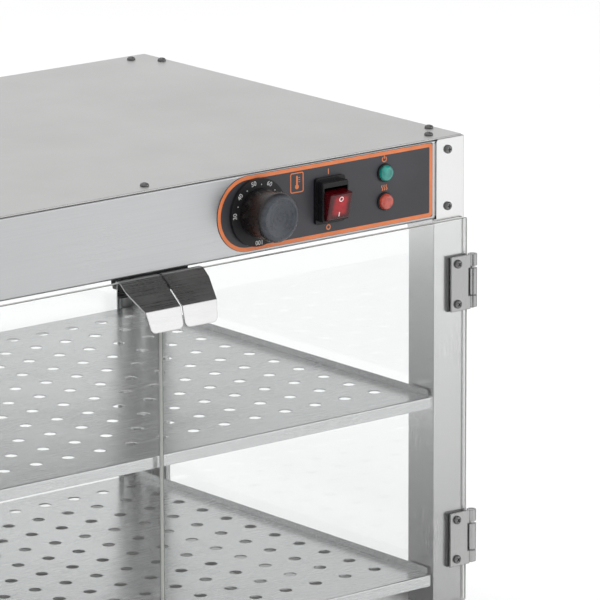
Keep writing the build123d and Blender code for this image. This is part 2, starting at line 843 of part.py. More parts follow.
catch_size = (73.0, 12.0, 12.0)
catch_face = front + 4.0
magnet_size = (26.0, 3.8, 8.0)
magnet_x = 20.0
with BuildPart() as catch_body:
    with Locations((0, catch_face, band_bottom)):
        Box(*catch_size, align=(Align.CENTER, Align.MIN, Align.MAX))
    fillet(catch_body.edges().filter_by(Axis.Y).group_by(Axis.Z)[0], 2.5)
save(catch_body, "catch_body")
with BuildPart() as catch_magnets:
    with Locations(*[(x, catch_face, band_bottom - catch_size[2] / 2) for x in (-magnet_x, magnet_x)]):
        Box(*magnet_size, align=(Align.CENTER, Align.MAX, Align.CENTER))
save(catch_magnets, "catch_magnets")

# ---------------------------------------------------------------- doors

handle_sheet = 1.2
handle_width = 43.5
handle_taper_start = 15.0
crease_forward = 33.6
crease_drop = 21.0
lip_drop = 39.0
crease_width = 37.0
lip_width = 33.5
clip_leg = 14.0


def hinge_screw_points(sign):
    """Centres of one door's hinge screws, as X and Z."""
    return [
        (sign * hinge_screw_x, level + rise)
        for level in hinge_levels
        for rise in (-hinge_screw_rise, hinge_screw_rise)
    ]


def upright_plate(plane, x_range, z_range, thickness):
    """A rectangular plate on an upright plane, given by its X and Z ranges."""
    with BuildSketch(plane) as outline:
        centre = ((x_range[0] + x_range[1]) / 2, (z_range[0] + z_range[1]) / 2)
        with Locations(centre):
            Rectangle(abs(x_range[1] - x_range[0]), abs(z_range[1] - z_range[0]))
    extrude(outline.sketch, amount=thickness)


for sign, side_name in mirror_sides:
    inner_edge = sign * door_gap / 2
    screw_points = hinge_screw_points(sign)

    # Glass leaf with four drilled holes
    with BuildPart() as door_glass:
        with BuildSketch(front_plane(front - glass_back)):
            with Locations(((inner_edge + sign * door_edge) / 2, door_mid)):
                RectangleRounded(door_edge - door_gap / 2, door_top - door_bottom, 2.0)
            with Locations(*screw_points):
                Circle(2.6, mode=Mode.SUBTRACT)
        extrude(amount=glass)
        rims = door_glass.faces().filter_by(Axis.Y).sort_by(Axis.Y)
        chamfer([face.outer_wire().edges() for face in (rims[0], rims[-1])], 0.4)
    save(door_glass, f"door_glass_{side_name}")

    # Folded handle, clipped over the top edge of the glass
    clip_back = glass_back + handle_sheet
    clip_top = door_top + handle_sheet
    with BuildPart() as handle:
        side_plane = Plane(origin=(inner_edge, 0, 0), x_dir=(0, 1, 0), z_dir=(1, 0, 0))
        with BuildSketch(side_plane) as handle_section:
            with BuildLine():
                FilletPolyline(
                    (clip_back, door_top - clip_leg),
                    (clip_back, clip_top),
                    (glass_face - 1.0, clip_top),
                    (front - crease_forward, door_top - crease_drop),
                    (front - handle_reach, door_top - lip_drop),
                    radius=handle_sheet * 1.3,
                )
                offset(amount=handle_sheet, side=Side.LEFT)
            make_face()
        extrude(amount=sign * handle_width)
        outer = inner_edge + sign * handle_width
        crease_end = inner_edge + sign * crease_width
        lip_end = inner_edge + sign * lip_width
        beyond = outer + sign * 10
        with BuildSketch(Plane.XY.offset(door_bottom)):
            with BuildLine():
                Polyline(
                    (outer, front - handle_taper_start),
                    (crease_end, front - crease_forward),
                    (beyond, front - crease_forward),
                    (beyond, front - handle_taper_start),
                    (outer, front - handle_taper_start),
                )
            make_face()
        extrude(amount=door_top, mode=Mode.SUBTRACT)
        lip_level = door_top - lip_drop
        with BuildSketch(front_plane(crease_forward)):
            with BuildLine():
                Polyline(
                    (crease_end, door_top - crease_drop),
                    (lip_end, lip_level - 3),
                    (beyond, lip_level - 3),
                    (beyond, door_top),
                    (crease_end, door_top),
                    (crease_end, door_top - crease_drop),
                )
            make_face()
        extrude(amount=20, mode=Mode.SUBTRACT)
        clip_corners = [
            edge
            for edge in handle.edges().filter_by(Axis.Y)
            if abs(edge.center().Z - (door_top - clip_leg)) < 1
        ]
        fillet(clip_corners, 4.0)
        lip_ends = handle.faces().sort_by(Axis.Z)[0]
        fillet(lip_ends.edges().sort_by(Edge.length)[:2], 5.0)
    save(handle, f"handle_{side_name}")

    # Hinges: outer leaf with two knuckles, inner clamp plate, and their screws
    leaf_inner = sign * (side - leaf_reach)
    leaf_outer = sign * (side - leaf_inset)
    arm_outer = sign * (hinge_x - 2)
    with BuildPart() as door_leaves:
        for level in hinge_levels:
            low = level - hinge_height / 2
            high = level + hinge_height / 2
            leaf_plane = front_plane(front - glass_face)
            upright_plate(leaf_plane, (leaf_inner, leaf_outer), (low, high), leaf)
            for start in (low, high - knuckle + knuckle_gap):
                end = start + knuckle - knuckle_gap
                upright_plate(leaf_plane, (leaf_outer, arm_outer), (start, end), leaf)
                with BuildSketch(Plane.XY.offset(start)) as ring:
                    with Locations((sign * hinge_x, hinge_y)):
                        Circle(barrel_radius)
                extrude(ring.sketch, amount=end - start)
        for level in hinge_levels:
            with Locations((sign * hinge_x, hinge_y, level)):
                Cylinder(pin_radius + pin_clearance, hinge_height + 2, mode=Mode.SUBTRACT)
        with BuildSketch(front_plane(front - glass_face)) as leaf_holes:
            with Locations(*screw_points):
                Circle(screw_hole_radius)
        extrude(amount=leaf, mode=Mode.SUBTRACT)
    save(door_leaves, f"door_hinge_leaves_{side_name}")

    with BuildPart() as clamps:
        clamp_inner = sign * (side - clamp_inset - clamp_width)
        clamp_outer = sign * (side - clamp_inset)
        for level in hinge_levels:
            low = level - hinge_height / 2
            high = level + hinge_height / 2
            upright_plate(
                front_plane(front - glass_back), (clamp_inner, clamp_outer), (low, high), -clamp
            )
        with BuildSketch(front_plane(front - glass_back)):
            with Locations(*screw_points):
                Circle(screw_hole_radius)
        extrude(amount=-clamp, mode=Mode.SUBTRACT)
    save(clamps, f"hinge_clamp_plates_{side_name}")

    door_screw_planes = [
        Plane(origin=(x, glass_face - leaf, z), x_dir=(0.8, 0, 0.6), z_dir=(0, -1, 0))
        for x, z in screw_points
    ]
    screw_group(f"door_hinge_screws_{side_name}", door_screw_planes, leaf + glass + clamp)

# Fixed leaves on the posts' sides, with the middle knuckle, screws and pins
middle_knuckle = 2 * knuckle - 2 * knuckle_gap
with BuildPart() as fixed_leaves:
    for sign in (-1, 1):
        for level in hinge_levels:
            plate_x = sign * (side + fixed_leaf / 2)
            plate_depth = fixed_leaf_back - 2
            with Locations((plate_x, front + 2 + plate_depth / 2, level)):
                Box(fixed_leaf, plate_depth, hinge_height)
            arm_depth = front + 2 - hinge_y
            with Locations((plate_x, hinge_y + arm_depth / 2, level)):
                Box(fixed_leaf, arm_depth, middle_knuckle)
            with Locations((sign * hinge_x, hinge_y, level)):
                Cylinder(barrel_radius, middle_knuckle)
                Cylinder(pin_radius + pin_clearance, hinge_height, mode=Mode.SUBTRACT)
    drill(post_hinge_screw_planes, screw_hole_radius, 6 * sheet)
save(fixed_leaves, "post_hinge_leaves")
screw_group("post_hinge_screws", post_hinge_screw_planes, 6.0)

with BuildPart() as hinge_pins:
    with Locations(*[(s * hinge_x, hinge_y, level) for s in (-1, 1) for level in hinge_levels]):
        Cylinder(pin_radius, hinge_height - 0.6)
    chamfer(hinge_pins.edges().filter_by(GeomType.CIRCLE), 0.3)
save(hinge_pins, "hinge_pins")
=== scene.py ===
import math

import bmesh
import bpy
from mathutils import Matrix, Vector


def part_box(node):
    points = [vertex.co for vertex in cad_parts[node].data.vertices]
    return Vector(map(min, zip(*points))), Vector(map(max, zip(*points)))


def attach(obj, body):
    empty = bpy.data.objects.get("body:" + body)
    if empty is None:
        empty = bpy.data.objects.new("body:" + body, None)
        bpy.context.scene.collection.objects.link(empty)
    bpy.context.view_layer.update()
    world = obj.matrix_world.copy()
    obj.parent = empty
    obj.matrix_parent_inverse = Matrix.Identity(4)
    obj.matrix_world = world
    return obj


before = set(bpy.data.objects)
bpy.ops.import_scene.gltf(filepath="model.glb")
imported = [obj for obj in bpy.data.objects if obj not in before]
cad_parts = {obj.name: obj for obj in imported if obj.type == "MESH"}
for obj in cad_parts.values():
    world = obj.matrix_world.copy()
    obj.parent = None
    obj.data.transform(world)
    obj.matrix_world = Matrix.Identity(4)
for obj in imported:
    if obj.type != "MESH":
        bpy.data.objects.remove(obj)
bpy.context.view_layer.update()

scene = bpy.context.scene

# ------------------------------------------------------------------ key places, from the CAD nodes

overlay_low, overlay_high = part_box("control_overlay")
dial_low, dial_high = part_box("dial_plate")
rocker_low, rocker_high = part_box("switch_frame")
key_low, key_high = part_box("switch_key")
power_low, power_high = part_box("power_lamp_lens")
heat_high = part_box("heat_lamp_lens")[1]
overlay_face = overlay_low.y
overlay_radius = (overlay_high.z - overlay_low.z) / 2
dial_x = (dial_low.x + dial_high.x) / 2
dial_z = (dial_low.z + dial_high.z) / 2
dial_face = dial_low.y
rocker_x = (rocker_low.x + rocker_high.x) / 2
lamp_x = (power_low.x + power_high.x) / 2


# ------------------------------------------------------------------ material helpers

class Nodes:
    """A short way to add and link shader nodes in one material."""

    def __init__(self, name):
        self.material = bpy.data.materials.new(name)
        self.material.use_nodes = True
        self.tree = self.material.node_tree
        self.tree.nodes.clear()
        self.output = self.tree.nodes.new("ShaderNodeOutputMaterial")

    def add(self, kind, inputs=None, **settings):
        node = self.tree.nodes.new("ShaderNode" + kind)
        for key, value in settings.items():
            setattr(node, key, value)
        for key, value in (inputs or {}).items():
            self.put(node.inputs[key], value)
        return node

    def put(self, socket, value):
        if isinstance(value, bpy.types.NodeSocket):
            self.tree.links.new(value, socket)
        else:
            socket.default_value = value

    def place(self, scale):
        """The object's own coordinates, stretched by scale: one number, or one for each axis."""
        where = self.add("TexCoord")
        mapping = self.add("Mapping")
        self.put(mapping.inputs["Vector"], where.outputs["Object"])
        even = isinstance(scale, (int, float))
        mapping.inputs["Scale"].default_value = (scale,) * 3 if even else scale
        return mapping.outputs["Vector"]

    def axes(self, output):
        """The X, Y and Z outputs of a texture coordinate, such as Object or Normal."""
        where = self.add("TexCoord")
        split = self.add("SeparateXYZ")
        self.put(split.inputs[0], where.outputs[output])
        return split.outputs

    def noise(self, vector, scale=1.0, detail=3.0, rough=0.55):
        node = self.add("TexNoise", {"Scale": scale, "Detail": detail, "Roughness": rough})
        self.put(node.inputs["Vector"], vector)
        return node.outputs["Fac"]

    def span(self, value, low, high, start=0.3, end=0.7):
        """Maps a value that varies over the surface: start and end become low and high."""
        node = self.add("MapRange", {"From Min": start, "From Max": end, "To Min": low, "To Max": high})
        self.put(node.inputs["Value"], value)
        return node.outputs["Result"]

    def math(self, operation, first, second=None):
        node = self.add("Math", operation=operation)
        self.put(node.inputs[0], first)
        if second is not None:
            self.put(node.inputs[1], second)
        return node.outputs[0]

    def mix(self, factor, first, second, blend="MIX"):
        node = self.add("Mix", data_type="RGBA", blend_type=blend)
        self.put(node.inputs[0], factor)
        self.put(node.inputs[6], first)
        self.put(node.inputs[7], second)
        return node.outputs[2]

    def ramp(self, value, stops):
        node = self.add("ValToRGB")
        elements = node.color_ramp.elements
        while len(elements) < len(stops):
            elements.new(0.5)
        for element, (position, colour) in zip(elements, stops):
            element.position = position
            element.color = colour
        self.put(node.inputs["Fac"], value)
        return node.outputs["Color"]

    def bump(self, painted_height_shade, strength, distance):
        node = self.add("Bump", {"Strength": strength, "Distance": distance})
        self.put(node.inputs["Height"], painted_height_shade)
        return node.outputs["Normal"]

    def edges(self, radius):
        """1 on sharp edges, 0 on flats: the rounded normal's lean from the true normal."""
        rounded = self.add("Bevel", {"Radius": radius}, samples=4)
        true = self.add("NewGeometry")
        dot = self.add("VectorMath", operation="DOT_PRODUCT")
        self.put(dot.inputs[0], rounded.outputs["Normal"])
        self.put(dot.inputs[1], true.outputs["Normal"])
        return self.span(dot.outputs["Value"], 1.0, 0.0, 0.86, 0.99)

    def shade(self, **values):
        """One Principled shader as the surface."""
        node = self.add("BsdfPrincipled")
        for key, value in values.items():
            self.put(node.inputs[key.replace("_", " ")], value)
        self.tree.links.new(node.outputs["BSDF"], self.output.inputs["Surface"])
        return node


def grey(value, warm=0.0):
    """A neutral colour, tinted from blue to red by warm."""
    return (value * (1 + warm), value, value * (1 - warm), 1.0)


def opaque(colour, factor=1.0, lift=0.0):
    """A colour as a shader takes it, scaled and lifted but never past white."""
    return tuple(min(1.0, c * factor + lift) for c in colour[:3]) + (1.0,)


# Brushing, in noise cells for each metre across the grain and along it
fine_across, fine_along = 2600.0, 14.0
coarse_across, coarse_along = 650.0, 3.0
# Width of the lines along folds and bends that are painted dark as painted reflections
fold_shade_width = 0.0011
rub_width = 0.0005
# Heights between which a post's tone falls off towards its foot, as painted shade
foot_shade_low, foot_shade_high = 0.08, 0.46


def brushed_steel(
    name, tone, along, rough=(0.24, 0.34), grain=0.25, warm=0.0, edge=0.3, spread=0.04, painted_foot_shade=1.0
):
    """Brushed sheet with grain running along one axis, handling marks and darker fold lines, painted
    dark as painted reflections. The last argument is how bright the foot of the sheet is against its top:
    painted shade."""
    n = Nodes(name)
    stretch = [fine_along if axis == along else fine_across for axis in "XYZ"]
    fine = n.noise(n.place(stretch), detail=2.0)
    stretch = [coarse_along if axis == along else coarse_across for axis in "XYZ"]
    coarse = n.noise(n.place(stretch), detail=2.0)
    cloud = n.noise(n.place(4.0), detail=3.0)
    grains = n.math("ADD", n.math("MULTIPLY", fine, 0.75), n.math("MULTIPLY", coarse, 0.25))
    low = grey(tone * (1 - spread), warm)
    high = grey(min(1.0, tone * (1 + spread)), warm)
    base = n.ramp(grains, [(0.34, low), (0.66, high)])
    base = n.mix(n.span(cloud, 0.0, 0.45), base, grey(tone * 0.95, warm + 0.008))
    # Painted shade: the sheet is coloured darker towards its foot
    if painted_foot_shade < 1.0:
        painted_height_shade = n.span(n.axes("Object")["Z"], painted_foot_shade, 1.0, foot_shade_low, foot_shade_high)
        base = n.mix(1.0, base, painted_height_shade, "MULTIPLY")
    # Painted reflection: folds and bends are coloured darker along a bevel edge mask
    painted_fold_shade = n.math("MULTIPLY", n.edges(fold_shade_width), n.span(coarse, 0.6, 0.95))
    base = n.mix(painted_fold_shade, base, grey(min(1.0, tone * edge), warm))
    smear = n.noise(n.place((11.0, 11.0, 17.0)), detail=4.0, rough=0.65)
    roughness = n.math("ADD", n.span(fine, rough[0], rough[1]), n.span(smear, -0.03, 0.06))
    normal = n.bump(grains, grain * 0.25, 0.0002)
    n.shade(Base_Color=base, Metallic=1.0, Roughness=roughness, Normal=normal)
    return n.material


def plain_metal(name, tone, rough=(0.25, 0.4), warm=0.0, edge=1.3, painted_recess_shade=0.0):
    """Small turned or stamped metal: fine speckle, paler edges that are partly rubbed wear and partly a
    painted highlight, and painted shade darkening its recesses.
    """
    n = Nodes(name)
    speck = n.noise(n.place(900.0), detail=3.0)
    patch = n.noise(n.place(60.0), detail=3.0)
    base = n.ramp(speck, [(0.3, grey(tone * 0.88, warm)), (0.7, grey(min(1, tone * 1.08), warm))])
    base = n.mix(n.span(patch, 0.0, 0.5), base, grey(tone * 0.85, warm + 0.02))
    # Paler edges: partly rubbed wear, partly a painted highlight
    base = n.mix(n.math("MULTIPLY", n.edges(0.0004), 0.8), base, grey(min(1, tone * edge), warm))
    # Painted shade: recesses are coloured near black by ambient occlusion
    if painted_recess_shade:
        corner = n.add("AmbientOcclusion", {"Distance": 0.0016}, samples=4)
        recess_shade = n.span(corner.outputs["AO"], painted_recess_shade, 0.0, 0.25, 0.85)
        base = n.mix(recess_shade, base, grey(0.02, warm))
    normal = n.bump(speck, 0.12, 0.0002)
    n.shade(Base_Color=base, Metallic=1.0, Roughness=n.span(patch, rough[0], rough[1]), Normal=normal)
    return n.material


def moulded(name, colour, rough=(0.45, 0.6), pebble=2200.0, bump=0.25, rub=0.35, coat=0.0, gloss=0.25):
    """Moulded plastic or rubber: fine pebble, dust in patches, rubbed paler edges."""
    n = Nodes(name)
    fine = n.noise(n.place(pebble), detail=2.0)
    patch = n.noise(n.place(45.0), detail=4.0)
    base = n.ramp(patch, [(0.3, opaque(colour, 0.82)), (0.7, opaque(colour, 1.18))])
    base = n.mix(n.math("MULTIPLY", n.edges(rub_width), rub), base, opaque(colour, 1.5, 0.045))
    normal = n.bump(fine, bump, 0.00015)
    n.shade(
        Base_Color=base,
        Roughness=n.span(patch, rough[0], rough[1]),
        Normal=normal,
        Coat_Weight=coat,
        Specular_IOR_Level=gloss,
    )
    return n.material


def clear_glass(name, facing, tint, smudge=0.035):
    """Clear pane with faint smudges in its gloss, frosted ground edges and chamfers painted dark as painted
    shade.
    facing is the axis that its large faces look along. Lamp light passes through it."""
    n = Nodes(name)
    smear = n.noise(n.place((7.0, 7.0, 3.0)), detail=5.0, rough=0.6)
    fine = n.noise(n.place(1800.0), detail=2.0)
    lean = n.math("ABSOLUTE", n.axes("Normal")[facing])
    rim = n.span(lean, 1.0, 0.0, 0.4, 0.8)
    clear = n.ramp(smear, [(0.3, tint), (0.8, opaque(tint, 0.985))])
    ground = n.ramp(fine, [(0.3, (0.66, 0.67, 0.64, 1.0)), (0.7, (0.80, 0.81, 0.77, 1.0))])
    # Painted shade: the chamfers between the faces and the edges are coloured near black
    painted_dark_chamfer = n.math("MULTIPLY", n.span(lean, 0.0, 1.0, 0.5, 0.62), n.span(lean, 1.0, 0.0, 0.8, 0.92))
    gloss = n.span(smear, 0.0, smudge, 0.45, 0.8)
    pane = n.shade(
        Base_Color=n.mix(painted_dark_chamfer, n.mix(rim, clear, ground), (0.10, 0.11, 0.10, 1.0)),
        Roughness=n.math("MAXIMUM", gloss, n.math("MULTIPLY", rim, 0.55)),
        IOR=1.5,
        Transmission_Weight=n.span(n.math("MAXIMUM", rim, painted_dark_chamfer), 1.0, 0.25, 0.0, 1.0),
        Normal=n.bump(n.math("MULTIPLY", fine, rim), 0.3, 0.0001),
    )
    path = n.add("LightPath")
    through = n.add("BsdfTransparent")
    through.inputs["Color"].default_value = (0.94, 0.955, 0.95, 1.0)
    mixed = n.add("MixShader")
    n.put(mixed.inputs[0], path.outputs["Is Shadow Ray"])
    n.put(mixed.inputs[1], pane.outputs["BSDF"])
    n.put(mixed.inputs[2], through.outputs["BSDF"])
    n.put(n.output.inputs["Surface"], mixed.outputs["Shader"])
    return n.material


def lens(name, colour, deep, glow, cloudy):
    """Translucent tinted plastic with faint moulded ribs."""
    n = Nodes(name)
    ribs = n.add("TexWave", {"Scale": 320.0, "Distortion": 0.4}, bands_direction="Z")
    n.put(ribs.inputs["Vector"], n.place(1))
    cloud = n.noise(n.place(160.0), detail=3.0)
    base = n.ramp(cloud, [(0.3, deep), (0.75, colour)])
    n.shade(
        Base_Color=base,
        Roughness=n.span(cloud, 0.10, 0.22),
        Normal=n.bump(ribs.outputs["Fac"], 0.12, 0.0002),
        Coat_Weight=0.6,
        Coat_Roughness=0.05,
        Subsurface_Weight=cloudy,
        Subsurface_Radius=(0.003, 0.0012, 0.0012),
        Emission_Color=colour,
        Emission_Strength=glow,
    )
    return n.material


# ------------------------------------------------------------------ materials of the CAD nodes

roof_steel = brushed_steel(
    "roof_steel", 0.595, "X", rough=(0.34, 0.42), grain=0.12, warm=0.008, spread=0.015
)
band_steel = brushed_steel("band_steel", 0.47, "X", rough=(0.28, 0.36), warm=-0.012, spread=0.05)
side_band_steel = brushed_steel("side_band_steel", 0.47, "Y", rough=(0.28, 0.36), warm=-0.012, spread=0.05)
post_steel = brushed_steel(
    "post_steel", 0.70, "Z", rough=(0.16, 0.24), grain=0.12, edge=0.2, spread=0.02, painted_foot_shade=0.5
)
shelf_steel = brushed_steel(
    "shelf_steel", 0.54, "X", rough=(0.18, 0.28), grain=0.15, warm=-0.008, spread=0.025
)
inner_steel = brushed_steel("inner_steel", 0.60, "X", rough=(0.28, 0.4))
channel_steel = brushed_steel("channel_steel", 0.60, "Z", rough=(0.28, 0.4))
handle_steel = brushed_steel("handle_steel", 0.55, "X", rough=(0.22, 0.32), grain=0.35, spread=0.05)
hinge_steel = brushed_steel("hinge_steel", 0.38, "Z", rough=(0.2, 0.3), grain=0.3, edge=0.15)
# Screws: dark heads with a painted highlight round their rims and painted shade in their recesses
screw_steel = plain_metal("screw_steel", 0.17, rough=(0.16, 0.26), edge=1.8, painted_recess_shade=1.0)
pin_steel = plain_metal("pin_steel", 0.50)
clamp_dark = plain_metal("clamp_dark", 0.10, rough=(0.4, 0.55), edge=2.2)
magnet_steel = plain_metal("magnet_steel", 0.30)
element_metal = plain_metal("element_metal", 0.22, rough=(0.38, 0.55), warm=0.08)
spindle_brass = plain_metal("spindle_brass", 0.50, warm=0.28)
black_plastic = moulded("black_plastic", (0.009, 0.009, 0.010), rough=(0.42, 0.55))
catch_plastic = moulded("catch_plastic", (0.035, 0.035, 0.037), rough=(0.45, 0.6))
bezel_plastic = moulded("bezel_plastic", (0.006, 0.006, 0.007), rough=(0.22, 0.32))
seal_silicone = moulded("seal_silicone", (0.46, 0.48, 0.48), rough=(0.5, 0.65), pebble=1400.0, rub=0.15)
rubber_black = moulded("rubber_black", (0.022, 0.022, 0.022), rough=(0.7, 0.85), pebble=1400.0)
ceramic = moulded("ceramic", (0.74, 0.72, 0.66), rough=(0.55, 0.7), rub=0.15)
pane_tint = (0.945, 0.953, 0.950, 1.0)
front_pane = clear_glass("front_pane", "Y", pane_tint)
side_pane = clear_glass("side_pane", "X", pane_tint)
green_lens = lens("green_lens", (0.008, 0.27, 0.225, 1.0), (0.004, 0.13, 0.11, 1.0), 0.02, 0.15)
red_lens = lens("red_lens", (0.50, 0.075, 0.045, 1.0), (0.26, 0.03, 0.02, 1.0), 0.02, 0.15)

# The knob: black round its side, with turned rings on its dished face, painted paler than the side as a
# painted reflection
turned_ring_pitch = 0.0042
n = Nodes("knob_plastic")
spot = n.axes("Object")
along_x = n.math("SUBTRACT", spot["X"], dial_x)
along_z = n.math("SUBTRACT", spot["Z"], dial_z)
square = n.math("ADD", n.math("MULTIPLY", along_x, along_x), n.math("MULTIPLY", along_z, along_z))
ring_wave = n.math("SINE", n.math("MULTIPLY", n.math("SQRT", square), 2 * math.pi / turned_ring_pitch))
# Painted reflection: faces that look forward are coloured paler than the side
frontal = n.span(n.math("ABSOLUTE", n.axes("Normal")["Y"]), 0.0, 1.0, 0.45, 0.9)
cloud = n.noise(n.place(220.0), detail=3.0)
side_black = n.ramp(cloud, [(0.3, (0.005, 0.004, 0.004, 1)), (0.7, (0.010, 0.008, 0.008, 1))])
face_painted_sheen = n.ramp(cloud, [(0.3, (0.030, 0.034, 0.042, 1)), (0.7, (0.044, 0.050, 0.060, 1))])
n.shade(
    Base_Color=n.mix(frontal, side_black, face_painted_sheen),
    Roughness=n.span(cloud, 0.24, 0.34),
    Normal=n.bump(n.math("MULTIPLY", ring_wave, frontal), 0.2, 0.0003),
    Specular_IOR_Level=0.4,
)
knob_plastic = n.material

# The rocker key: dark red, brighter where the lamp inside it shows
lit_half_width, dark_half_width = 0.0052, 0.0090
lit_half_height, dark_half_height = 0.0062, 0.0100
n = Nodes("key_red")
spot = n.axes("Object")
off_x = n.math("ABSOLUTE", n.math("SUBTRACT", spot["X"], (key_low.x + key_high.x) / 2))
off_z = n.math("ABSOLUTE", n.math("SUBTRACT", spot["Z"], (key_low.z + key_high.z) / 2))
lit_across = n.span(off_x, 1.0, 0.0, lit_half_width, dark_half_width)
lit_upwards = n.span(off_z, 1.0, 0.0, lit_half_height, dark_half_height)
lit = n.math("MULTIPLY", lit_across, lit_upwards)
cloud = n.noise(n.place(240.0), detail=3.0)
dark_red = n.ramp(cloud, [(0.3, (0.030, 0.001, 0.002, 1)), (0.7, (0.060, 0.002, 0.004, 1))])
bright_red = n.ramp(cloud, [(0.3, (0.24, 0.004, 0.009, 1)), (0.7, (0.36, 0.008, 0.014, 1))])
n.shade(
    Base_Color=n.mix(lit, dark_red, bright_red),
    Roughness=n.span(cloud, 0.10, 0.18),
    Normal=n.bump(cloud, 0.04, 0.0002),
    Coat_Weight=0.15,
    Coat_Roughness=0.04,
    Specular_IOR_Level=0.3,
)
key_red = n.material

finishes = {
    roof_steel: ["roof_panel"],
    band_steel: ["front_top_band", "rear_top_band", "front_base_band", "rear_base_band"],
    side_band_steel: ["left_top_band", "right_top_band", "left_base_band", "right_base_band"],
    post_steel: [f"post_{end}_{side}" for end in ("front", "rear") for side in ("left", "right")],
    shelf_steel: ["upper_shelf", "lower_shelf"],
    inner_steel: [
        "ceiling_panel", "floor_panel", "bottom_plate", "corner_gussets", "shelf_supports", "element_rails",
    ],
    channel_steel: ["glazing_channels"],
    handle_steel: ["handle_left", "handle_right"],
    hinge_steel: ["door_hinge_leaves_left", "door_hinge_leaves_right", "post_hinge_leaves"],
    screw_steel: [
        "frame_screws", "roof_screws", "foot_screws", "post_hinge_screws",
        "door_hinge_screws_left", "door_hinge_screws_right",
    ],
    pin_steel: ["hinge_pins"],
    clamp_dark: ["hinge_clamp_plates_left", "hinge_clamp_plates_right"],
    magnet_steel: ["catch_magnets"],
    element_metal: ["heating_element"],
    spindle_brass: ["thermostat_spindle"],
    black_plastic: ["dial_plate", "thermostat_body", "cable_gland", "gland_nut"],
    catch_plastic: ["catch_body"],
    bezel_plastic: ["switch_frame", "lamp_bodies"],
    knob_plastic: ["knob_grip"],
    rubber_black: ["rubber_feet"],
    seal_silicone: ["glazing_seals"],
    ceramic: ["element_bushes", "terminal_block"],
    front_pane: ["door_glass_left", "door_glass_right", "rear_glass"],
    side_pane: ["side_glass_left", "side_glass_right"],
    green_lens: ["power_lamp_lens"],
    red_lens: ["heat_lamp_lens"],
    key_red: ["switch_key"],
}


def dress(node, material):
    """Gives a CAD node its material, keeping its mesh as it is."""
    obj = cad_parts[node]
    obj.data.materials.clear()
    obj.data.materials.append(material)


for material, nodes in finishes.items():
    for node in nodes:
        dress(node, material)

# The overlay film: fine leather-like print texture on a soft black
n = Nodes("overlay_film")
film = n.noise(n.place(1300.0), detail=2.0)
cloud = n.noise(n.place(14.0), detail=3.0)
film_base = n.ramp(cloud, [(0.3, (0.026, 0.026, 0.030, 1)), (0.7, (0.040, 0.040, 0.047, 1))])
n.shade(
    Base_Color=film_base,
    Roughness=n.span(cloud, 0.36, 0.46),
    Normal=n.bump(film, 0.22, 0.00012),
    Specular_IOR_Level=0.4,
)
dress("control_overlay", n.material)


# ------------------------------------------------------------------ printed marks on the panel

def printed_ink(name, colour):
    """Screen-printed ink, slightly worn in patches."""
    n = Nodes(name)
    cloud = n.noise(n.place(70.0), detail=3.0)
    fine = n.noise(n.place(1600.0), detail=2.0)
    base = n.ramp(cloud, [(0.35, opaque(colour, 0.86)), (0.65, opaque(colour))])
    n.shade(Base_Color=base, Roughness=n.span(fine, 0.38, 0.52), Normal=n.bump(fine, 0.15, 0.0001))
    return n.material


orange_ink = printed_ink("orange_ink", (0.64, 0.175, 0.055))
white_ink = printed_ink("white_ink", (0.56, 0.56, 0.55))
key_ink = printed_ink("key_ink", (0.86, 0.80, 0.78))
ink_lift = 0.00012


def new_piece(name, mesh_data, material, body):
    """A new object that rides on a body."""
    piece = bpy.data.objects.new(name, mesh_data)
    scene.collection.objects.link(piece)
    piece.data.materials.append(material)
    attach(piece, body)
    return piece


def prism(mesh, loop, y, inner=None):
    """Adds an upright film of ink with the outline loop (x, z), its face at y towards the user.
    inner is the outline of a hole in it, with as many points as loop."""
    if inner:
        count = len(loop)
        front_outer = [mesh.verts.new((x, y, z)) for x, z in loop]
        front_inner = [mesh.verts.new((x, y, z)) for x, z in inner]
        back_outer = [mesh.verts.new((x, y + ink_lift, z)) for x, z in loop]
        back_inner = [mesh.verts.new((x, y + ink_lift, z)) for x, z in inner]
        for i in range(count):
            j = (i + 1) % count
            mesh.faces.new((front_outer[i], front_outer[j], front_inner[j], front_inner[i]))
            mesh.faces.new((back_outer[j], back_outer[i], back_inner[i], back_inner[j]))
            mesh.faces.new((front_outer[j], front_outer[i], back_outer[i], back_outer[j]))
            mesh.faces.new((front_inner[i], front_inner[j], back_inner[j], back_inner[i]))
        return
    near = [mesh.verts.new((x, y, z)) for x, z in loop]
    far = [mesh.verts.new((x, y + ink_lift, z)) for x, z in loop]
    mesh.faces.new(near)
    mesh.faces.new(list(reversed(far)))
    for i in range(len(loop)):
        j = (i + 1) % len(loop)
        mesh.faces.new((near[j], near[i], far[i], far[j]))


def finish_mesh(name, mesh):
    """Turns a bmesh into mesh data, with its faces looking outwards."""
    bmesh.ops.recalc_face_normals(mesh, faces=mesh.faces)
    data = bpy.data.meshes.new(name)
    mesh.to_mesh(data)
    mesh.free()
    return data


def arc(cx, cz, radius, start, end, steps):
    """Points on an arc; angles in degrees, anticlockwise from +X."""
    turn = [math.radians(start + (end - start) * i / steps) for i in range(steps + 1)]
    return [(cx + radius * math.cos(a), cz + radius * math.sin(a)) for a in turn]


def panel_outline(inset):
    """The overlay's outline, moved in: a round left end and small corners on the right."""
    low, high = overlay_low, overlay_high
    r = overlay_radius - inset
    centre = low.x + overlay_radius
    mid = (low.z + high.z) / 2
    corner = max(0.0004, 0.003 - inset * 0.5)
    right = high.x - inset
    top = high.z - inset
    bottom = low.z + inset
    loop = arc(centre, mid, r, 90, 270, 40)
    loop += arc(right - corner, bottom + corner, corner, -90, 0, 6)
    loop += arc(right - corner, top - corner, corner, 0, 90, 6)
    return loop


border_inset = 0.0003
border_width = 0.0034
border = bmesh.new()
border_inner = panel_outline(border_inset + border_width)
prism(border, panel_outline(border_inset), overlay_face - ink_lift, border_inner)
new_piece("panel_border", finish_mesh("panel_border", border), orange_ink, "cabinet")


